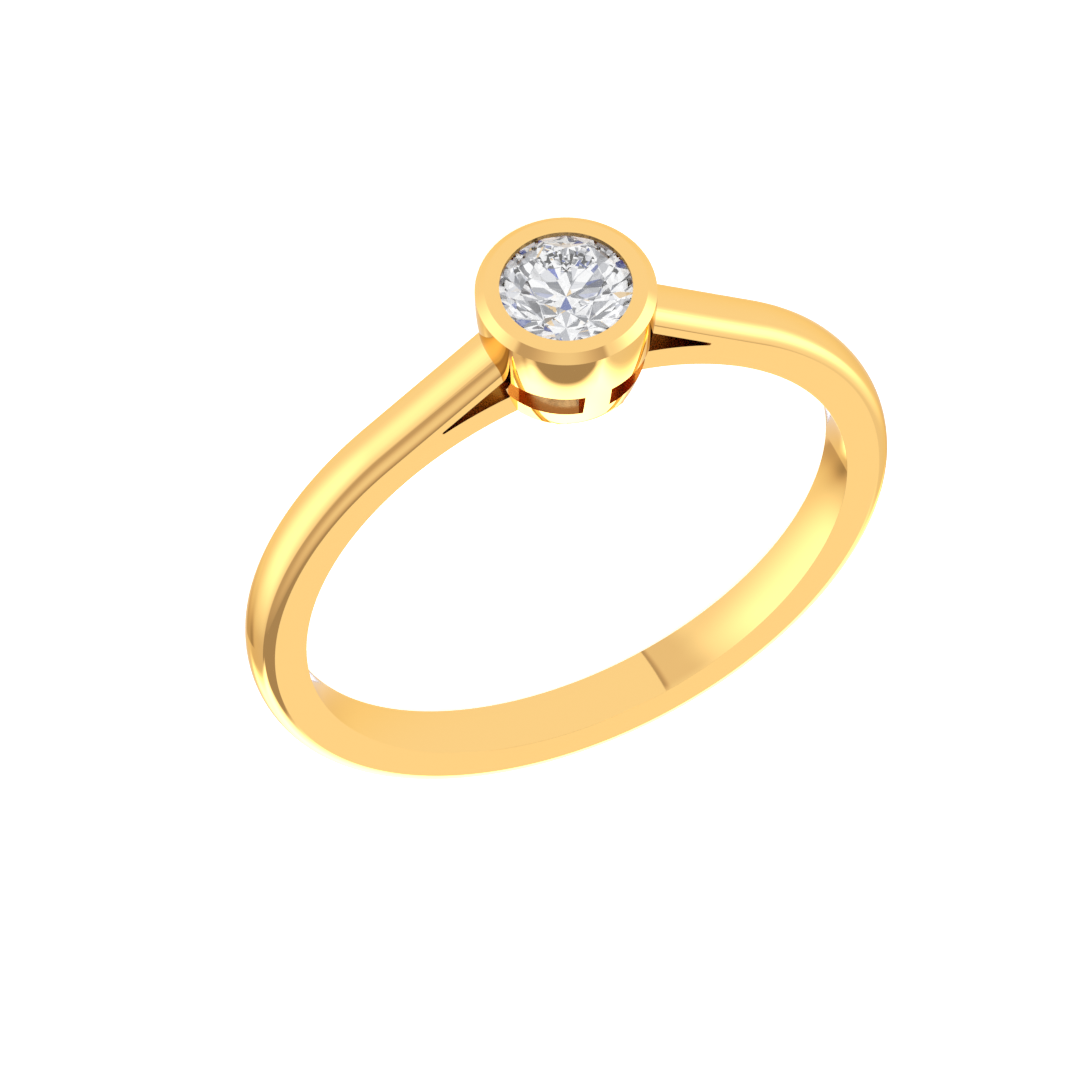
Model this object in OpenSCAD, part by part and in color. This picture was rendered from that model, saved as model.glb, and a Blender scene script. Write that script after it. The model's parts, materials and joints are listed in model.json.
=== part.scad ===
/* [Band] */
// Diameter of the finger hole
finger_hole_d = 17; // [15:0.25:20]
// Width of the band along the finger
band_w = 1.63; // [1.4:0.01:2]
// Height of the band's flat sides above the finger hole
band_side_h = 1; // [0.9:0.01:1.15]
// Radius of the rounded corners between the flat sides and the domed top
band_corner_r = 0.4; // [0.3:0.01:0.5]
// Rise of the domed top above its rounded corners
band_dome_h = 0.09; // [0.06:0.01:0.2]

/* [Shoulders] */
// Angle from the stone's axis at which each straight shoulder leaves the round band
shoulder_angle = 38.5; // [36:0.5:41]
// Thickness of the band that stays round under the head
base_t = 0.82; // [0.7:0.01:0.9]
// Angle from the stone's axis at which each slot under a shoulder ends
slot_angle = 26.5; // [24:0.5:29]
// Height of each slot at its rounded end
slot_tip_h = 0.1; // [0.06:0.01:0.14]

/* [Bezel cup] */
// Height of the cup's rim above the finger hole
rim_h = 3.9; // [3.7:0.01:4.2]
// Width of the rim's flat face
rim_flat_w = 0.445; // [0.35:0.005:0.55]
// Height of the bevel round the rim
rim_bevel_h = 0.24; // [0.15:0.01:0.35]
// Width of the bevel round the rim
rim_bevel_w = 0.265; // [0.15:0.005:0.35]
// Radius of the gentle bow of the cup's side, seen in outline
cup_bow_r = 12.3; // [10:0.1:16]

/* [Gallery] */
// Thickness of the cup's floor over the finger hole
floor_t = 0.75; // [0.6:0.01:0.9]
// Height of the gallery windows
window_h = 1.02; // [0.8:0.01:1.1]
// Width of the post between two windows
post_w = 0.82; // [0.6:0.01:1]
// Distance of each window's outer end from the middle of the cup
window_reach = 2.23; // [2.1:0.01:2.3]
// Radius of the hollow inside the windows
hollow_r = 2; // [1.8:0.01:2.1]
// Radius of the hole from the hollow up to the stone's seat
seat_hole_r = 1.3; // [1.1:0.01:1.5]
// Radius of the light hole through the floor
light_hole_r = 1; // [0.6:0.01:1.2]

/* [Stone] */
// Diameter of the stone
stone_d = 4.1; // [3.9:0.01:4.3]
// Depth of the stone's girdle below the cup's rim
girdle_drop = 0.31; // [0.28:0.01:0.4]
// Thickness of the stone's girdle
girdle_t = 0.06; // [0.04:0.01:0.1]
// Width of the stone's flat table, from corner to corner
table_d = 2.26; // [2:0.01:2.5]
// Slope of the stone's crown
crown_angle = 34.5; // [32:0.5:36]
// Slope of the stone's pavilion
pavilion_angle = 41; // [40:0.5:42]
// Distance of the star facets' points from the stone's axis
star_reach = 1.55; // [1.45:0.01:1.65]
// Distance of the lower girdle facets' points from the stone's axis
lower_reach = 0.5; // [0.4:0.01:0.7]
// Turn of the stone about its own axis
stone_turn = 22.5; // [0:0.5:45]
// Clearance between the stone and the metal
stone_gap = 0.03; // [0.02:0.005:0.05]
// Overlap of the cup's lip over the stone's girdle
lip_w = 0.1; // [0.06:0.01:0.15]

/* [Hidden] */
$fn = 128;
// How far the cutting shapes run past the faces that they cut
past = 1;
// Flat steps round the finger, across the dome and round each corner of the band
band_steps = 66;
dome_steps = 6;
corner_steps = 3;

// Band section: radii from the ring's centre and half widths
hole_r = finger_hole_d / 2;
half_w = band_w / 2;
side_r = hole_r + band_side_h;
corner_y = half_w - band_corner_r;
dome_rise = band_corner_r + band_dome_h;
crest_r = side_r + dome_rise;
dome_r = (corner_y ^ 2 + dome_rise ^ 2 - band_corner_r ^ 2) / (2 * band_dome_h);
dome_c = crest_r - dome_r;
corner_end = asin(corner_y / (dome_r - band_corner_r));
root_r = hole_r + base_t / 2;

// Cup: radii from the stone's axis and heights from the ring's centre
stone_r = stone_d / 2;
opening_r = stone_r - lip_w;
rim_r = opening_r + rim_flat_w;
rim_z = hole_r + rim_h;
cup_r = rim_r + rim_bevel_w;
cup_top = rim_z - rim_bevel_h;
cup_bow_c = cup_r - cup_bow_r;
cup_foot = sqrt(hole_r ^ 2 - cup_r ^ 2);
floor_z = hole_r + floor_t;
ceiling_z = floor_z + window_h;

// Shoulders: the slot's roof runs straight along the shoulder, which ends inside the cup's wall
base_r = hole_r + base_t;
slot_tip_r = base_r + slot_tip_h;
slot_roof = slot_tip_r * cos(shoulder_angle - slot_angle);
shoulder_l = (crest_r * sin(shoulder_angle) - opening_r) / cos(shoulder_angle);

// Stone: angles round it and heights from the ring's centre
mains = 8;
main_step = 360 / mains;
half_step = main_step / 2;
girdle_top = rim_z - girdle_drop + girdle_t / 2;
girdle_low = girdle_top - girdle_t;
table_r = table_d / 2;

// Heights of the crown and the pavilion over a main facet, at a distance from the stone's axis
function crown_z(reach) = girdle_top + (stone_r - reach) * tan(crown_angle);
function pavilion_z(reach) = girdle_low - (stone_r - reach) * tan(pavilion_angle);

// Lying on its side, the ring rests on the cup's bow and on a corner of the far side of its band
lie_long = cup_top + side_r;
lie_deep = corner_y - cup_bow_c;
lie_tilt = atan2(lie_long, lie_deep) - acos((cup_bow_r - band_corner_r) / norm([lie_long, lie_deep]));
lie_lift = side_r * sin(lie_tilt) + corner_y * cos(lie_tilt) + band_corner_r;
lie_front = crown_z(table_r) * cos(lie_tilt) + table_r * sin(lie_tilt);
lie_back = dome_c * cos(lie_tilt) + dome_r;

// Lays down a ring whose finger axis is Y and whose stone looks up
module lying() {
  translate([0, (lie_front - lie_back) / 2, lie_lift])
    rotate([lie_tilt - 90, 0, 180])
      children();
}

// Repeats the right half of the ring on the left
module both_sides() {
  children();
  mirror([1, 0, 0]) children();
}

// Points of an arc, both ends counted
function arc_points(centre, radius, from, to, steps) = [
  for (i = [0 : steps])
    let (angle = from + (to - from) * i / steps)
      centre + radius * [cos(angle), sin(angle)]
];

// Outline of the band cut through, from inside the base band out: x from the ring's centre, y along the finger
band_outline = concat(
  [[root_r, -half_w]],
  arc_points([side_r, -corner_y], band_corner_r, -90, -corner_end, corner_steps),
  [for (i = [1 : dome_steps - 1]) arc_points([dome_c, 0], dome_r, -corner_end, corner_end, dome_steps)[i]],
  arc_points([side_r, corner_y], band_corner_r, corner_end, 90, corner_steps),
  [[root_r, half_w]]
);

// A point of the right shoulder, from its height over the ring's centre and its place along the shoulder
function shoulder_point(height, along) = [
  height * sin(shoulder_angle) - along * cos(shoulder_angle),
  height * cos(shoulder_angle) + along * sin(shoulder_angle)
];

// The same point of the left half
function on_left(p) = [-p[0], p[1]];

// The band's path: from the end of the right shoulder, round the finger to the end of the left shoulder
function band_point(ring, height) =
  ring == 0 ? shoulder_point(height, shoulder_l)
  : ring == band_steps + 2 ? on_left(shoulder_point(height, shoulder_l))
  : let (angle = shoulder_angle + (360 - 2 * shoulder_angle) * (ring - 1) / band_steps)
      height * [sin(angle), cos(angle)];

// The domed band and both shoulders, filled up to the middle of the base band
module domed_band() {
  n = len(band_outline);
  last = band_steps + 2;
  points = [
    for (ring = [0 : last])
      for (p = band_outline)
        let (at = band_point(ring, p[0])) [at[0], p[1], at[1]]
  ];
  skin = [
    for (ring = [0 : last - 1])
      for (j = [0 : n - 1])
        let (next = (j + 1) % n)
          [ring * n + j, ring * n + next, (ring + 1) * n + next, (ring + 1) * n + j]
  ];
  polyhedron(points, concat([[for (j = [n - 1 : -1 : 0]) j], [for (j = [0 : n - 1]) last * n + j]], skin));
}

// The right slot, from its rounded end to the middle of the cup
module slot() {
  roof_end = shoulder_point(slot_roof, shoulder_l);
  rotate([90, 0, 0])
    linear_extrude(band_w + 2 * past, center = true) {
      difference() {
        polygon([[0, 0], slot_tip_r * [sin(slot_angle), cos(slot_angle)], roof_end, [0, roof_end[1]]]);
        circle(base_r);
      }
      rotate(-slot_angle)
        translate([0, base_r + slot_tip_h / 2])
          circle(d = slot_tip_h);
    }
}

// The band with its shoulders and slots, filled up inside
module band() {
  difference() {
    union() {
      domed_band();
      rotate([90, 0, 0]) cylinder(r = base_r + slot_tip_h / 2, h = band_w, center = true);
    }
    both_sides() slot();
  }
}

// The solid cup, before its seat and gallery are cut
module cup() {
  rotate_extrude() {
    intersection() {
      translate([cup_bow_c, cup_top]) circle(cup_bow_r);
      translate([0, cup_foot]) square([cup_bow_r, cup_top - cup_foot]);
    }
    polygon([[0, cup_top], [cup_r, cup_top], [rim_r, rim_z], [0, rim_z]]);
  }
}

// The hollow down the stone's axis: lip, seat, gallery and light hole, each clear of the stone
module cup_hollow() {
  seat_r = stone_r + stone_gap;
  lip_gap = stone_gap / cos(crown_angle);
  seat_gap = stone_gap / cos(pavilion_angle);
  rotate_extrude()
    polygon([
      [0, 0],
      [light_hole_r, 0],
      [light_hole_r, floor_z],
      [hollow_r, floor_z],
      [hollow_r, ceiling_z],
      [seat_hole_r, ceiling_z],
      [seat_hole_r, pavilion_z(seat_hole_r) - seat_gap],
      [seat_r, pavilion_z(seat_r) - seat_gap],
      [seat_r, crown_z(seat_r) + lip_gap],
      [opening_r, crown_z(opening_r) + lip_gap],
      [opening_r, rim_z + past],
      [0, rim_z + past]
    ]);
}

// The four windows of the gallery, with a post between each pair
module gallery_windows() {
  for (front = [0, 1])
    both_sides()
      mirror([0, front, 0])
        translate([post_w / 2, half_w, floor_z])
          cube([window_reach - post_w / 2, cup_r, window_h]);
}

// Band, shoulders and bezel cup: one piece of gold
module band_and_bezel() {
  color([0.95, 0.75, 0.4])
    lying()
      difference() {
        union() {
          band();
          cup();
        }
        rotate([90, 0, 0]) cylinder(r = hole_r, h = 2 * (cup_r + past), center = true);
        cup_hollow();
        gallery_windows();
      }
}

// Points evenly round the stone's axis
function round_points(count, reach, height, first = 0) = [
  for (i = [0 : count - 1])
    let (angle = first + i * 360 / count)
      [reach * cos(angle), reach * sin(angle), height]
];

// The round brilliant: table, stars, kites, girdle facets and pavilion
module brilliant() {
  corners = 0;
  stars = corners + mains;
  girdle = stars + mains;
  under = girdle + 2 * mains;
  lowers = under + 2 * mains;
  culet = lowers + mains;
  points = concat(
    round_points(mains, table_r, crown_z(table_r)),
    round_points(mains, star_reach, crown_z(star_reach * cos(half_step)), half_step),
    round_points(2 * mains, stone_r, girdle_top),
    round_points(2 * mains, stone_r, girdle_low),
    round_points(mains, lower_reach, pavilion_z(lower_reach * cos(half_step)), half_step),
    [[0, 0, pavilion_z(0)]]
  );
  table_face = [[for (k = [mains - 1 : -1 : 0]) corners + k]];
  main_faces = [
    for (k = [0 : mains - 1])
      let (next = (k + 1) % mains, last = (k + mains - 1) % mains)
        each [
          [corners + next, stars + k, corners + k],
          [stars + k, girdle + 2 * k, stars + last, corners + k],
          [under + 2 * k, lowers + k, culet, lowers + last]
        ]
  ];
  girdle_faces = [
    for (j = [0 : 2 * mains - 1])
      let (next = (j + 1) % (2 * mains), k = floor(j / 2))
        each [
          [girdle + next, girdle + j, stars + k],
          [girdle + j, girdle + next, under + next, under + j],
          [under + j, under + next, lowers + k]
        ]
  ];
  polyhedron(points, concat(table_face, main_faces, girdle_faces));
}

// The stone, loose under the cup's lip
module stone() {
  color([0.93, 0.95, 1])
    lying()
      rotate(stone_turn)
        brilliant();
}

band_and_bezel();
stone();
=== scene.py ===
import json
import math
import bpy
from mathutils import Matrix, Vector


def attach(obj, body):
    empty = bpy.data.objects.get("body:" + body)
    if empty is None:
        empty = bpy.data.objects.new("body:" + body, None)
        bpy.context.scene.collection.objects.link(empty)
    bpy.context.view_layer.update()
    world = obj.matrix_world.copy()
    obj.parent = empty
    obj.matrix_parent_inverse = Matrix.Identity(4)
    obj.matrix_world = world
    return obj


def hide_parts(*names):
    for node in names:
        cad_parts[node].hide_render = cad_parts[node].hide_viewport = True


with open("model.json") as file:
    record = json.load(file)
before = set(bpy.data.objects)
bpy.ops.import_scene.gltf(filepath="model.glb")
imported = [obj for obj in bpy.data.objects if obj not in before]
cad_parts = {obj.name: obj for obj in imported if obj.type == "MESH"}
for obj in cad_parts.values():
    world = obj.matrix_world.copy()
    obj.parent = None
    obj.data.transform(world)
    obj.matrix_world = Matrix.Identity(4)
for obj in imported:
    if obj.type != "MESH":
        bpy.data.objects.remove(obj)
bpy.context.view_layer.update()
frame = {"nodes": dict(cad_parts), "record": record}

mm = 0.001
finger = frame["record"]["mounts"][0]        # the finger hole gives the ring's centre and the way it lies
ringCentre = Vector(finger["pos_m"])
fingerAxis = Vector(finger["axis"]).normalized()
acrossAxis = Vector((-1, 0, 0))
stoneAxis = acrossAxis.cross(fingerAxis)
lying = Matrix.Translation(ringCentre) @ Matrix((acrossAxis, fingerAxis, stoneAxis)).transposed().to_4x4()

def newMaterial(name):
    material = bpy.data.materials.new(name)
    material.use_nodes = True
    nodes = material.node_tree.nodes
    return material, nodes, material.node_tree.links, nodes["Principled BSDF"]


goldLook = {
    "grazingTint": (0.99, 0.8, 0.5, 1),     # keeps it gold at grazing angles
    "grain": 900,
    "grainDetail": 3,
}


def makeGold(name, colour, smoothest, roughest):
    gold, nodes, links, skin = newMaterial(name)
    skin.inputs["Base Color"].default_value = (*colour, 1)
    skin.inputs["Metallic"].default_value = 1
    skin.inputs["Specular Tint"].default_value = goldLook["grazingTint"]
    place = nodes.new("ShaderNodeTexCoord")
    polish = nodes.new("ShaderNodeTexNoise")
    polish.inputs["Scale"].default_value = goldLook["grain"]
    polish.inputs["Detail"].default_value = goldLook["grainDetail"]
    wear = nodes.new("ShaderNodeMapRange")
    wear.inputs["To Min"].default_value = smoothest
    wear.inputs["To Max"].default_value = roughest
    links.new(place.outputs["Object"], polish.inputs["Vector"])
    links.new(polish.outputs["Fac"], wear.inputs["Value"])
    links.new(wear.outputs["Result"], skin.inputs["Roughness"])
    return gold


def tell(text):
    print("ring:", text)


def clearSelection():
    if bpy.context.object and bpy.context.object.mode == "EDIT":
        bpy.ops.object.mode_set(mode="OBJECT")
    bpy.ops.object.select_all(action="DESELECT")


def startOutline(name, point):
    # a plane merged to one point is the first point of an outline
    clearSelection()
    bpy.ops.mesh.primitive_plane_add(size=1, location=(0, 0, 0))
    piece = bpy.context.object
    piece.name = piece.data.name = name
    bpy.ops.object.mode_set(mode="EDIT")
    bpy.ops.mesh.select_mode(type="VERT")
    bpy.ops.mesh.select_all(action="SELECT")
    bpy.ops.mesh.merge(type="CENTER")
    bpy.ops.transform.translate(value=point)
    return piece


def lineBy(x, y, z):
    bpy.ops.mesh.extrude_vertices_move(TRANSFORM_OT_translate={"value": (x, y, z)})


def arcRound(centre, axis, degrees, steps):
    # spin turns the other way from the right-hand rule
    bpy.ops.mesh.spin(steps=steps, angle=-math.radians(degrees), center=centre, axis=axis)


def closeOutline():
    bpy.ops.mesh.select_all(action="SELECT")
    bpy.ops.mesh.remove_doubles(threshold=1e-4)
    bpy.ops.mesh.select_all(action="SELECT")


def selectWhere(piece, test):
    # the selection is made in code, by place
    bpy.ops.object.mode_set(mode="EDIT")
    bpy.ops.mesh.select_mode(type="VERT")
    bpy.ops.mesh.select_all(action="DESELECT")
    bpy.ops.object.mode_set(mode="OBJECT")
    for v in piece.data.vertices:
        v.select = test(v.co)
    bpy.ops.object.mode_set(mode="EDIT")


def finishSolid(piece):
    bpy.ops.mesh.select_all(action="SELECT")
    bpy.ops.mesh.remove_doubles(threshold=1e-5)
    bpy.ops.mesh.select_all(action="SELECT")
    bpy.ops.mesh.normals_make_consistent(inside=False)
    bpy.ops.object.mode_set(mode="OBJECT")
    return piece


def combine(piece, tool, operation):
    clearSelection()
    piece.select_set(True)
    bpy.context.view_layer.objects.active = piece
    cut = piece.modifiers.new("cut", "BOOLEAN")
    cut.operation = operation
    cut.solver = "EXACT"
    cut.object = tool
    cut.material_mode = "TRANSFER"
    bpy.ops.object.modifier_apply(modifier=cut.name)
    bpy.data.objects.remove(tool)
    tell(f"{operation.lower()} gives {len(piece.data.polygons)} faces")


# sizes in millimetres, from the ring's centre; the ring is modelled upright and laid down at the end
band = {
    "holeRadius": 8.5,
    "width": 1.63,
    "sideRadius": 9.5,          # where the flat sides end
    "cornerRadius": 0.4,
    "crestRadius": 9.99,
    "fillRadius": 8.2,          # the band starts inside the finger hole, which is cut last
    "shoulderAngle": 38.5,      # from the stone's axis to where the straight shoulder starts
    "edgeRadius": 0.005,        # round along the finger hole's edges
    "stepsPerDegree": 1,
    "cornerSteps": 8,
    "domeSteps": 12,
    "edgeSteps": 2,
}
cup = {
    "openingRadius": 1.95,
    "rimRadius": 2.395,
    "radius": 2.66,
    "rimHeight": 12.4,
    "bevelHeight": 0.24,
    "bowRadius": 12.3,
    "footRound": 0.04,
    "bowSteps": 20,
    "footSteps": 4,
    "turns": 256,
}


def alongShoulder(height, along):
    # a point of the right shoulder, by its height over the ring's centre and its place along the shoulder
    s, c = math.sin(math.radians(band["shoulderAngle"])), math.cos(math.radians(band["shoulderAngle"]))
    return height * s - along * c, height * c + along * s


def shoulderLength():
    s, c = math.sin(math.radians(band["shoulderAngle"])), math.cos(math.radians(band["shoulderAngle"]))
    return (band["crestRadius"] * s - cup["openingRadius"]) / c


def makeBand():
    # outline across the finger axis at the right shoulder, where Z is outwards; then spun round the finger
    halfWidth, corner = band["width"] / 2, band["cornerRadius"]
    cornerY = halfWidth - corner
    rise = band["crestRadius"] - band["sideRadius"]
    domeRadius = (cornerY ** 2 + rise ** 2 - corner ** 2) / (2 * (rise - corner))
    domeCentre = band["crestRadius"] - domeRadius
    cornerEnd = math.degrees(math.asin(cornerY / (domeRadius - corner)))
    piece = startOutline("band_and_bezel_gold", (0, -halfWidth, band["fillRadius"]))
    lineBy(0, 0, band["sideRadius"] - band["fillRadius"])
    arcRound((0, -cornerY, band["sideRadius"]), (-1, 0, 0), 90 - cornerEnd, band["cornerSteps"])
    arcRound((0, 0, domeCentre), (-1, 0, 0), 2 * cornerEnd, band["domeSteps"])
    arcRound((0, cornerY, band["sideRadius"]), (-1, 0, 0), 90 - cornerEnd, band["cornerSteps"])
    lineBy(0, 0, band["fillRadius"] - band["sideRadius"])
    lineBy(0, -band["width"], 0)
    closeOutline()
    roundPart = 360 - 2 * band["shoulderAngle"]
    steps = round(roundPart * band["stepsPerDegree"])
    arcRound((0, 0, 0), (0, 1, 0), roundPart, steps)
    length = shoulderLength()
    turn = math.radians(roundPart)
    bpy.ops.mesh.extrude_edges_move(
        TRANSFORM_OT_translate={"value": (length * math.cos(turn), 0, -length * math.sin(turn))})
    bpy.ops.mesh.edge_face_add()
    selectWhere(piece, lambda co: abs(co.x) < 1e-4 and co.z > 0)
    bpy.ops.mesh.extrude_edges_move(TRANSFORM_OT_translate={"value": (-length, 0, 0)})
    bpy.ops.mesh.edge_face_add()
    bpy.ops.mesh.select_all(action="SELECT")
    turn = -math.radians(band["shoulderAngle"])
    bpy.ops.transform.rotate(value=turn, orient_axis="Y", center_override=(0, 0, 0))
    return finishSolid(piece)


metal = makeBand()
tell(f"band {len(metal.data.polygons)} faces")


base = {
    "radius": 9.32,
    "overlap": 6,               # degrees that it runs on inside the band
    "inside": 0.1,
    "hair": 0.003,              # between faces that would fall together
    "slotAngle": 26.5,
    "slotTip": 0.1,
    "slotSteps": 54,
    "tipSteps": 12,
}


def makeBase():
    # the base band under the head; a hair narrower than the band, so that the two share no face
    halfWidth, reach = band["width"] / 2 - base["hair"], band["shoulderAngle"] + base["overlap"]
    low, top = band["fillRadius"] - base["inside"], base["radius"] + base["slotTip"] / 2
    piece = startOutline("base", (0, -halfWidth, low))
    lineBy(0, 0, top - low)
    lineBy(0, 2 * halfWidth, 0)
    lineBy(0, 0, low - top)
    lineBy(0, -2 * halfWidth, 0)
    closeOutline()
    bpy.ops.mesh.edge_face_add()
    bpy.ops.transform.rotate(value=math.radians(reach), orient_axis="Y", center_override=(0, 0, 0))
    bpy.ops.mesh.select_all(action="SELECT")
    arcRound((0, 0, 0), (0, 1, 0), 2 * reach, round(2 * reach * band["stepsPerDegree"]))
    return finishSolid(piece)


def makeSlots():
    # seen along the finger axis: the two slots joined through the middle of the head
    tipAngle = math.radians(base["slotAngle"])
    s, c = math.sin(tipAngle), math.cos(tipAngle)
    low, high = base["radius"], base["radius"] + base["slotTip"]
    middle = (low + high) / 2
    roof = high * math.cos(math.radians(band["shoulderAngle"]) - tipAngle)
    roofX, roofZ = alongShoulder(roof, shoulderLength())
    start = -band["width"]
    piece = startOutline("slots", (-low * s, start, low * c))
    arcRound((0, start, 0), (0, 1, 0), 2 * base["slotAngle"], base["slotSteps"])
    arcRound((middle * s, start, middle * c), (0, -1, 0), 180, base["tipSteps"])
    lineBy(roofX - high * s, 0, roofZ - high * c)
    lineBy(-2 * roofX, 0, 0)
    lineBy(roofX - high * s, 0, high * c - roofZ)
    arcRound((-middle * s, start, middle * c), (0, -1, 0), 180, base["tipSteps"])
    closeOutline()
    bpy.ops.mesh.edge_face_add()
    bpy.ops.mesh.extrude_region_move(TRANSFORM_OT_translate={"value": (0, 2 * band["width"], 0)})
    return finishSolid(piece)


def spunSolid(name, outline, axis, turns):
    # the outline holds points of radius and height, the first and the last on the axis
    along = Vector(axis)
    side = Vector((1, 0, 0))
    places = [side * p[0] + along * p[1] for p in outline]
    piece = startOutline(name, places[0])
    for here, there in zip(places, places[1:]):
        lineBy(*(there - here))
    closeOutline()
    arcRound((0, 0, 0), axis, 360, turns)
    return finishSolid(piece)


def makeCup():
    top = cup["rimHeight"] - cup["bevelHeight"]
    bowCentre = cup["radius"] - cup["bowRadius"]
    foot = math.sqrt(band["holeRadius"] ** 2 - cup["radius"] ** 2)
    sweep = math.asin((top - foot) / cup["bowRadius"])
    angles = [sweep * i / cup["bowSteps"] for i in range(cup["bowSteps"] + 1)]
    bow = [(bowCentre + cup["bowRadius"] * math.cos(a), top - cup["bowRadius"] * math.sin(a)) for a in angles]
    outline = [(0, cup["rimHeight"]), (cup["rimRadius"], cup["rimHeight"])] + bow + [(0, foot)]
    return spunSolid("cup", outline, (0, 0, 1), cup["turns"])


gallery = {
    "low": 9.25,
    "high": 10.27,
    "radius": 2.0,
    "postWidth": 0.82,
    "reach": 2.23,              # where the windows end beside the shoulders
}
seat = {
    "lightHoleRadius": 1.0,
    "holeRadius": 1.3,
    "radius": 2.08,
    "foot": 11.368,             # the bearing under the stone's girdle
    "low": 12.046,
    "top": 12.136,
    "lipHeight": 12.225,
}


def makeHollow():
    outline = [
        (0, 0), (seat["lightHoleRadius"], 0), (seat["lightHoleRadius"], gallery["low"]),
        (gallery["radius"], gallery["low"]), (gallery["radius"], gallery["high"]),
        (seat["holeRadius"], gallery["high"]), (seat["holeRadius"], seat["foot"]),
        (seat["radius"], seat["low"]), (seat["radius"], seat["top"]),
        (cup["openingRadius"], seat["lipHeight"]), (0, seat["lipHeight"]),
    ]
    return spunSolid("hollow", outline, (0, 0, 1), cup["turns"])


def makeOpening():
    low, high = seat["lipHeight"] - base["hair"], cup["rimHeight"] + 1
    outline = [(0, low), (cup["openingRadius"], low), (cup["openingRadius"], high), (0, high)]
    return spunSolid("opening", outline, (0, 0, 1), cup["turns"])


def makeFingerHole():
    # the edges of the finger hole are a little rounded
    edge, half, reach = band["edgeRadius"], band["width"] / 2, cup["radius"] + 1
    hole = band["holeRadius"]
    arc = [math.radians(90 * i / band["edgeSteps"]) for i in range(band["edgeSteps"] + 1)]
    side = [(hole + edge * (1 - math.cos(a)), half - edge + edge * math.sin(a)) for a in arc]
    outline = [(0, -reach), (side[-1][0], -reach)] + [(r, -y) for r, y in reversed(side)] + side
    outline += [(side[-1][0], reach), (0, reach)]
    return spunSolid("finger_hole", outline, (0, 1, 0), 360 * band["stepsPerDegree"])


def makeWindows():
    clearSelection()
    inner, outer = gallery["postWidth"] / 2, gallery["reach"]
    near, far = band["width"] / 2, band["width"] / 2 + cup["radius"]
    low, high = gallery["low"], gallery["high"]
    parts = []
    for sideX in (-1, 1):
        for sideY in (-1, 1):
            centre = (sideX * (inner + outer) / 2, sideY * (near + far) / 2, (low + high) / 2)
            bpy.ops.mesh.primitive_cube_add(size=1, location=centre)
            window = bpy.context.object
            window.scale = (outer - inner, far - near, high - low)
            parts.append(window)
    for window in parts:
        window.select_set(True)
    bpy.ops.object.join()
    bpy.ops.object.transform_apply(location=True, rotation=True, scale=True)
    return bpy.context.object


polished = makeGold("gold", (0.975, 0.635, 0.233), 0.02, 0.05)
# painted shade: the cup's inside and its windows, the saw cuts under the shoulders and the thin wall round the
# stone get a darker gold that stands in for the shade in these recesses, with a rougher finish
shadedCupInside = makeGold("gold_painted_shade_cup", (0.78, 0.46, 0.19), 0.08, 0.16)
shadedSlotCut = makeGold("gold_painted_shade_slot", (0.5, 0.31, 0.14), 0.1, 0.18)
shadedLip = makeGold("gold_painted_shade_lip", (0.42, 0.27, 0.12), 0.1, 0.18)
metal.data.materials.append(polished)
# each cutter passes its darker gold, painted shade, on to the faces it cuts
for make, operation, surface in (
    (makeBase, "UNION", polished), (makeSlots, "DIFFERENCE", shadedSlotCut), (makeCup, "UNION", polished),
    (makeFingerHole, "DIFFERENCE", polished), (makeHollow, "DIFFERENCE", shadedCupInside),
    (makeOpening, "DIFFERENCE", shadedLip), (makeWindows, "DIFFERENCE", shadedCupInside),
):
    tool = make()
    tool.data.materials.append(surface)
    combine(metal, tool, operation)


finishing = {
    "joinDistance": 2e-4,
    "flatness": 0.99999,        # cosine within which a face counts as facing one way
    "smoothAngle": 28,
    "evenWeight": 80,
}


def markFlat(piece, facing):
    # the faces that look exactly one way keep a crisp border, so that they shine as true flats
    bpy.ops.object.mode_set(mode="EDIT")
    bpy.ops.mesh.select_mode(type="FACE")
    bpy.ops.mesh.select_all(action="DESELECT")
    bpy.ops.object.mode_set(mode="OBJECT")
    for face in piece.data.polygons:
        face.select = face.normal.dot(facing) > finishing["flatness"]
    bpy.ops.object.mode_set(mode="EDIT")
    bpy.ops.mesh.region_to_loop()
    bpy.ops.mesh.mark_sharp()
    bpy.ops.object.mode_set(mode="OBJECT")


def tidyMesh(piece):
    clearSelection()
    piece.select_set(True)
    bpy.context.view_layer.objects.active = piece
    bpy.ops.object.mode_set(mode="EDIT")
    bpy.ops.mesh.select_all(action="SELECT")
    bpy.ops.mesh.dissolve_degenerate(threshold=finishing["joinDistance"])
    bpy.ops.mesh.select_all(action="SELECT")
    bpy.ops.mesh.remove_doubles(threshold=finishing["joinDistance"])
    bpy.ops.object.mode_set(mode="OBJECT")


def softenFoot(piece):
    # a small round along the cup's foot, where the finger hole cuts its wall
    near, pastHole, pastBand = 0.02, seat["lightHoleRadius"] + 0.5, band["width"] / 2 + 0.02
    selectWhere(piece, lambda co: abs(math.hypot(co.x, co.z) - band["holeRadius"]) < near
                and math.hypot(co.x, co.y) > pastHole and abs(co.y) > pastBand)
    bpy.ops.mesh.bevel(offset=cup["footRound"], segments=cup["footSteps"])
    bpy.ops.object.mode_set(mode="OBJECT")


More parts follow.
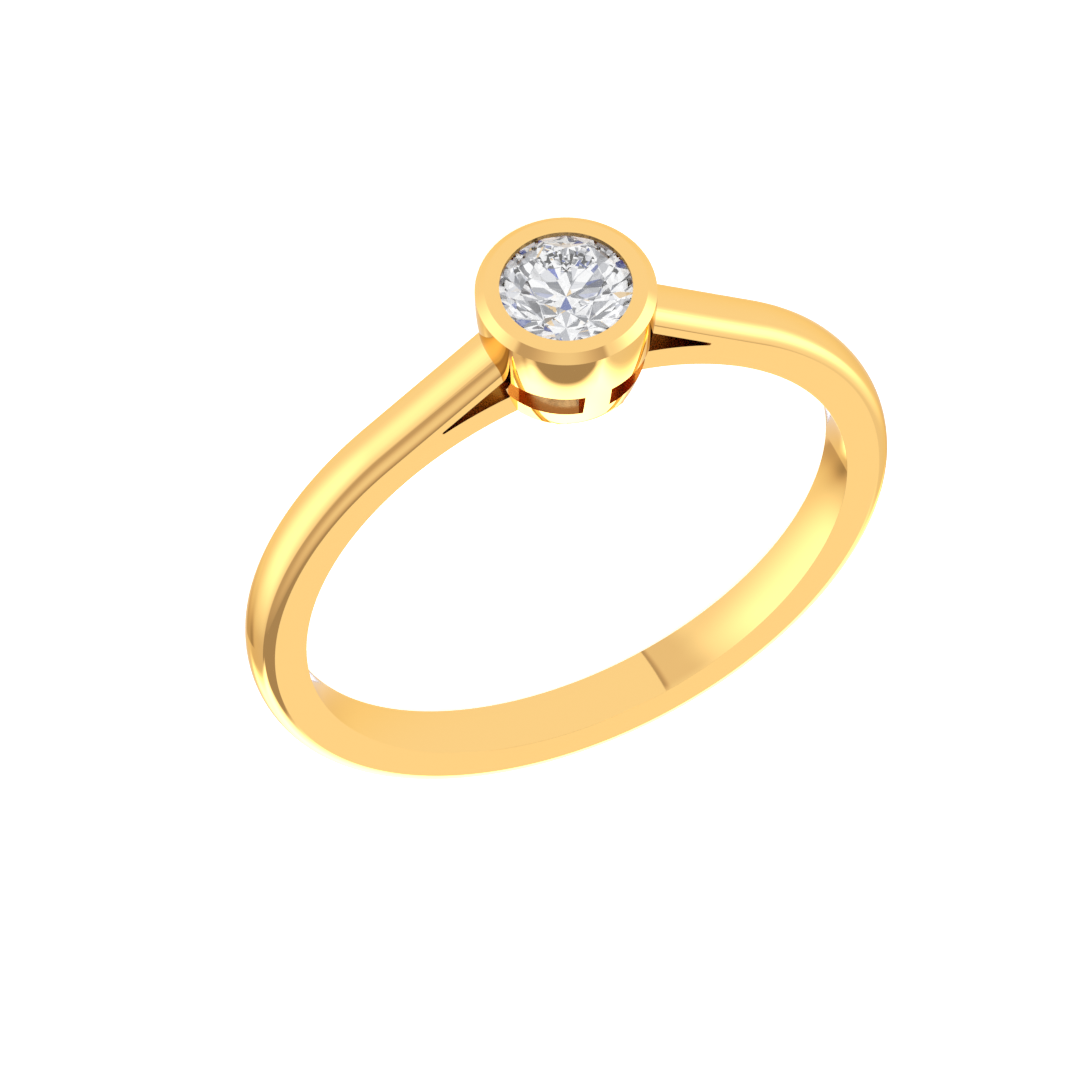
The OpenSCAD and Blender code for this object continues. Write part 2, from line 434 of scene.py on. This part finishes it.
def layDown(piece):
    # from the upright ring in millimetres to the frame, where it lies on its side in metres
    clearSelection()
    piece.select_set(True)
    bpy.context.view_layer.objects.active = piece
    piece.matrix_world = lying @ Matrix.Scale(mm, 4)
    bpy.ops.object.transform_apply(location=True, rotation=True, scale=True)
    bpy.ops.object.mode_set(mode="EDIT")
    bpy.ops.mesh.select_all(action="SELECT")
    bpy.ops.mesh.remove_doubles(threshold=1e-8)
    bpy.ops.mesh.select_all(action="SELECT")
    bpy.ops.mesh.normals_make_consistent(inside=False)
    bpy.ops.object.mode_set(mode="OBJECT")
    bpy.ops.object.shade_smooth_by_angle(angle=math.radians(finishing["smoothAngle"]))
    for facing in (fingerAxis, -fingerAxis):
        markFlat(piece, facing)
    even = piece.modifiers.new("even", "WEIGHTED_NORMAL")
    even.keep_sharp = True
    even.weight = finishing["evenWeight"]
    bpy.ops.object.modifier_apply(modifier=even.name)


tidyMesh(metal)
softenFoot(metal)
layDown(metal)
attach(metal, "root")
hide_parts("band_and_bezel")
tell(f"metal {len(metal.data.polygons)} faces")


stoneLook = {
    "ior": 2.417,
    "cloudScale": 400,
    "cloudTint": (0.985, 0.99, 1, 1),
}


def makeClearStone():
    clear, nodes, links, skin = newMaterial("clear_stone")
    # hardly a trace of colour, in soft clouds
    place = nodes.new("ShaderNodeTexCoord")
    cloud = nodes.new("ShaderNodeTexNoise")
    cloud.inputs["Scale"].default_value = stoneLook["cloudScale"]
    trace = nodes.new("ShaderNodeMix")
    trace.data_type = "RGBA"
    trace.inputs[6].default_value = (1, 1, 1, 1)
    trace.inputs[7].default_value = stoneLook["cloudTint"]
    links.new(place.outputs["Object"], cloud.inputs["Vector"])
    links.new(cloud.outputs["Fac"], trace.inputs["Factor"])
    links.new(trace.outputs[2], skin.inputs["Base Color"])
    skin.inputs["Roughness"].default_value = 0
    skin.inputs["IOR"].default_value = stoneLook["ior"]
    skin.inputs["Transmission Weight"].default_value = 1
    return clear


def dress(piece, material):
    piece.data.materials.clear()
    piece.data.materials.append(material)


dress(frame["nodes"]["stone"], makeClearStone())
metal.visible_transmission = False      # the stone shows the room, not the cup's inside
tell("stone has its material")


floorLook = {
    "size": 2,
    "tone": (0.92, 0.92, 0.92, 1),
    "roughness": 0.9,
    "glow": 0.55,
}


def makeFloor():
    clearSelection()
    bpy.ops.mesh.primitive_plane_add(size=floorLook["size"], location=(0, 0, 0))
    floor = bpy.context.object
    floor.name = floor.data.name = "floor"
    material, nodes, links, skin = newMaterial("floor")
    skin.inputs["Base Color"].default_value = floorLook["tone"]
    skin.inputs["Roughness"].default_value = floorLook["roughness"]
    skin.inputs["Emission Color"].default_value = (1, 1, 1, 1)
    skin.inputs["Emission Strength"].default_value = floorLook["glow"]
    dress(floor, material)
    floor.visible_glossy = floor.visible_transmission = False


def toFrame(direction):
    # from the upright ring's axes to the frame's
    return (lying.to_3x3() @ Vector(direction)).normalized()


# the studio round the upright ring: angles in degrees from the camera's side (right is positive) and above the
# horizon; each softbox or flag fades in over its soft edges and adds its strength to the white room's 1
studio = {
    "toCamera": (-0.382, -0.924, 0),
    "toRight": (0.924, -0.382, 0),
    "toSky": (0, 0, 1),
    "cards": [
        # left, right, soft left, soft right, low, high, soft low, soft high, strength
        ("dark curtain", -62, 51, 8, 7, -66, 64, 5, 20, -0.5),
        ("light on the curtain", -48, 48, 45, 45, -50, 66, 45, 25, 0.4),
        ("curtain's foot", -60, 51, 6, 7, -66, -30, 4, 20, -0.14),
        ("right softbox", 52, 125, 40, 20, -54, 52, 45, 22, 1.15),
        ("left softbox", -125, -58, 36, 24, -48, 52, 30, 35, 0.68),
        ("left softbox's foot", -128, -55, 15, 6, -64, -26, 4, 22, -0.17),
        ("frame beside the left softbox", -150, -100, 10, 14, -52.9, -35, 0.5, 17, -0.35),
        ("far right wall", 122, 179, 22, 30, -60, -20, 6, 20, -0.1),
        ("skirting", -181, 181, 0.5, 0.5, -62, -42, 6, 8, -0.13),
        ("fill by the right foot", 36, 54, 7, 7, -60, -48, 4, 4, 0.385),
    ],
    "tableEdge": 0.616,         # half width of the bright table below, over its distance
    "tableBack": 0.5,
    "tableSoft": 0.22,
    "tableLight": 2.6,
    "tableGlow": 1.2,           # brighter straight below
    "glowReach": 0.4,
    "glowCore": 0.05,
    # tint of light that has met more gold faces than the number given
    "secondHand": [(1, (0.74, 0.82, 1.15)), (2, (2.0, 2.9, 4.0))],
    "cameraAt": 0.66,           # the camera's dark oval at the table's near edge
    "cameraWidth": 0.5,
    "cameraDepth": 0.4,
    "cameraCore": 0.42,
    "cameraEnd": 1.25,
    "cameraShade": 1.2,
    "darkest": 0.36,
    "warmth": (1.14, 1, 0.96),  # tint of what is darker than the room
    "frameEdges": [
        # start, end, soft start, soft end, strength
        (-48, -22.3, 14, 0.4, -0.2),
        (-25.5, -22.3, 2.5, 0.4, -0.35),
    ],
    "paneScale": 9,
    "paneTurn": (0.3, 0.9, 0.2),
    "paneTones": [
        (0, (1, 1, 1)), (0.42, (0.68, 0.69, 0.72)), (0.58, (0.4, 0.41, 0.44)), (0.74, (0.19, 0.2, 0.22)),
        (0.88, (0.08, 0.08, 0.09)), (0.94, (0.05, 0.09, 0.34)), (0.978, (0.86, 0.6, 0.27)),
    ],
    "panes": [
        # angle, height, reach and tone of the panes that colour the largest facets
        ("blue pane overhead", 180, 85, 4.5, (0.03, 0.08, 0.36)),
        ("white pane in front", 0, 66, 2.5, (1, 1, 1)),
        ("blue pane in front", -22, 66, 3, (0.09, 0.14, 0.55)),
        ("grey pane on the left", -14, 60, 3, (0.26, 0.27, 0.3)),
    ],
    "stoneLight": 1.0,
    "roomLight": 1.0,
    "floorLight": 1.7,
}


def makeLight():
    world = bpy.data.worlds.new("studio")
    bpy.context.scene.world = world
    world.use_nodes = True
    nodes, links = world.node_tree.nodes, world.node_tree.links
    back = nodes["Background"]

    def reckon(operation, first, second=None):
        node = nodes.new("ShaderNodeMath")
        node.operation = operation
        for socket, value in zip(node.inputs, (first, second)):
            if isinstance(value, bpy.types.NodeSocket):
                links.new(value, socket)
            elif value is not None:
                socket.default_value = value
        return node.outputs[0]

    def along(direction):
        node = nodes.new("ShaderNodeVectorMath")
        node.operation = "DOT_PRODUCT"
        links.new(looking, node.inputs[0])
        node.inputs[1].default_value = toFrame(direction)
        return node.outputs["Value"]

    def ramp(value, start, end):
        node = nodes.new("ShaderNodeMapRange")
        node.interpolation_type = "SMOOTHSTEP"
        links.new(value, node.inputs["Value"])
        node.inputs["From Min"].default_value = start
        node.inputs["From Max"].default_value = end
        return node.outputs["Result"]

    def window(value, start, end, softStart, softEnd):
        rise = ramp(value, start, start + softStart)
        fall = ramp(value, end - softEnd, end)
        return reckon("MULTIPLY", rise, reckon("SUBTRACT", 1, fall))

    looking = nodes.new("ShaderNodeTexCoord").outputs["Generated"]
    toSide, toFront, toTop = along(studio["toRight"]), along(studio["toCamera"]), along(studio["toSky"])
    around = reckon("DEGREES", reckon("ARCTAN2", toSide, toFront))
    above = reckon("DEGREES", reckon("ARCSINE", toTop))
    total = reckon("ADD", 0, studio["roomLight"])
    for name, left, right, softLeft, softRight, low, high, softLow, softHigh, strength in studio["cards"]:
        across = window(around, left, right, softLeft, softRight)
        upright = window(above, low, high, softLow, softHigh)
        total = reckon("ADD", total, reckon("MULTIPLY", reckon("MULTIPLY", across, upright), strength))

    # behind the ring the softbox's frame runs along the finger axis, with a crisp edge at both ends
    overAxis = reckon("DEGREES", reckon("ARCTAN2", along((1, 0, 0)), toTop))
    behind = ramp(along((0, 1, 0)), 0.1, 0.3)
    for start, end, softStart, softEnd, strength in studio["frameEdges"]:
        edge = reckon("MULTIPLY", window(overAxis, start, end, softStart, softEnd), strength)
        total = reckon("ADD", total, reckon("MULTIPLY", edge, behind))

    # the bright table is flat, so its edges are straight in a flat picture of what lies below
    down = reckon("MAXIMUM", reckon("MULTIPLY", toTop, -1), 0.01)
    sideways, forwards = reckon("DIVIDE", toSide, down), reckon("DIVIDE", toFront, down)
    edge, soft = studio["tableEdge"], studio["tableSoft"]
    table = reckon("MULTIPLY", window(sideways, -edge, edge, soft, soft),
                  window(forwards, -studio["tableBack"], edge, soft, soft))
    offSide = reckon("POWER", reckon("DIVIDE", sideways, studio["cameraWidth"]), 2)
    fromCamera = reckon("SUBTRACT", forwards, studio["cameraAt"])
    offFront = reckon("POWER", reckon("DIVIDE", fromCamera, studio["cameraDepth"]), 2)
    offOval = reckon("SQRT", reckon("ADD", offSide, offFront))
    camera = reckon("SUBTRACT", 1, ramp(offOval, studio["cameraCore"], studio["cameraEnd"]))
    camera = reckon("MULTIPLY", camera, studio["cameraShade"])
    offCentre = reckon("SQRT", reckon("ADD", reckon("POWER", sideways, 2), reckon("POWER", forwards, 2)))
    glow = reckon("MULTIPLY", ramp(offCentre, studio["glowReach"], studio["glowCore"]), studio["tableGlow"])
    table = reckon("ADD", reckon("MULTIPLY", table, studio["tableLight"]), glow)
    table = reckon("SUBTRACT", table, camera)
    total = reckon("ADD", total, reckon("MULTIPLY", table, ramp(toTop, 0, -0.3)))
    total = reckon("MAXIMUM", total, studio["darkest"])

    path = nodes.new("ShaderNodeLightPath")
    mix = nodes.new("ShaderNodeMix")
    links.new(path.outputs["Is Diffuse Ray"], mix.inputs["Factor"])
    links.new(total, mix.inputs["A"])
    mix.inputs["B"].default_value = studio["floorLight"]
    tint = nodes.new("ShaderNodeMix")
    tint.data_type = "RGBA"
    links.new(ramp(total, 0.5, 1), tint.inputs["Factor"])
    tint.inputs[6].default_value = (*studio["warmth"], 1)
    tint.inputs[7].default_value = (1, 1, 1, 1)
    roomColour = tint.outputs[2]
    for faces, shade in studio["secondHand"]:
        cooler = nodes.new("ShaderNodeMix")
        cooler.data_type = "RGBA"
        cooler.blend_type = "MULTIPLY"
        links.new(ramp(path.outputs["Glossy Depth"], faces, faces + 1), cooler.inputs["Factor"])
        links.new(roomColour, cooler.inputs[6])
        cooler.inputs[7].default_value = (*shade, 1)
        roomColour = cooler.outputs[2]

    # what the stone gathers: a white room broken up into small grey and blue panes
    panes = nodes.new("ShaderNodeTexVoronoi")
    panes.inputs["Scale"].default_value = studio["paneScale"]
    turned = nodes.new("ShaderNodeMapping")
    turned.inputs["Rotation"].default_value = studio["paneTurn"]
    links.new(looking, turned.inputs["Vector"])
    links.new(turned.outputs["Vector"], panes.inputs["Vector"])
    split = nodes.new("ShaderNodeSeparateColor")
    links.new(panes.outputs["Color"], split.inputs["Color"])
    tones = nodes.new("ShaderNodeValToRGB")
    tones.color_ramp.interpolation = "CONSTANT"
    links.new(split.outputs[0], tones.inputs["Fac"])
    stops = tones.color_ramp.elements
    for start, tone in studio["paneTones"]:
        stop = stops[0] if start == 0 else stops.new(start)
        stop.color = (*tone, 1)
    stops.remove(stops[-1])
    gathered = tones.outputs["Color"]
    for name, angle, height, reach, tone in studio["panes"]:
        aside, high = math.radians(angle), math.radians(height)
        toCard = math.cos(high) * (math.cos(aside) * Vector(studio["toCamera"]) + math.sin(aside)
                                   * Vector(studio["toRight"])) + math.sin(high) * Vector(studio["toSky"])
        near = ramp(along(toCard), math.cos(math.radians(reach)), math.cos(math.radians(reach * 0.8)))
        blend = nodes.new("ShaderNodeMix")
        blend.data_type = "RGBA"
        links.new(near, blend.inputs["Factor"])
        links.new(gathered, blend.inputs[6])
        blend.inputs[7].default_value = (*tone, 1)
        gathered = blend.outputs[2]
    throughStone = path.outputs["Is Transmission Ray"]
    choose = nodes.new("ShaderNodeMix")
    choose.data_type = "RGBA"
    links.new(throughStone, choose.inputs["Factor"])
    links.new(roomColour, choose.inputs[6])
    links.new(gathered, choose.inputs[7])
    links.new(choose.outputs[2], back.inputs["Color"])
    stoneStrength = nodes.new("ShaderNodeMix")
    links.new(throughStone, stoneStrength.inputs["Factor"])
    links.new(mix.outputs["Result"], stoneStrength.inputs["A"])
    stoneStrength.inputs["B"].default_value = studio["stoneLight"]
    links.new(stoneStrength.outputs["Result"], back.inputs["Strength"])
    world.cycles.sampling_method = "NONE"


photoView = {
    # the photograph's view of the ring, given in the upright ring's own axes
    "toward": (-0.22491, -0.54414, 0.80829),
    "right": (0.923968, -0.382469, -0.000374),
    "up": (0.309349, 0.746749, 0.588786),
    "aimRight": -0.7627,        # millimetres from the ring's centre to the middle of the picture
    "aimUp": -0.0679,
    "width": 31.392,
    "distance": 0.3,
}


def makeCamera():
    toward, right, up = Vector(photoView["toward"]), Vector(photoView["right"]), Vector(photoView["up"])
    aim = (photoView["aimRight"] * right + photoView["aimUp"] * up) * mm
    data = bpy.data.cameras.new("photo_view")
    data.type = "ORTHO"
    data.ortho_scale = photoView["width"] * mm
    data.clip_start, data.clip_end = 0.001, 2
    camera = bpy.data.objects.new("photo_view", data)
    bpy.context.scene.collection.objects.link(camera)
    pose = Matrix((right, up, toward)).transposed().to_4x4()
    camera.matrix_world = lying @ Matrix.Translation(aim + toward * photoView["distance"]) @ pose
    bpy.context.scene.camera = camera


makeFloor()
makeLight()
makeCamera()
tell("floor, light and camera are set")
scene = bpy.context.scene
scene.view_settings.view_transform = "Standard"
scene.cycles.max_bounces = 24
scene.cycles.transmission_bounces = 16
scene.cycles.glossy_bounces = 12
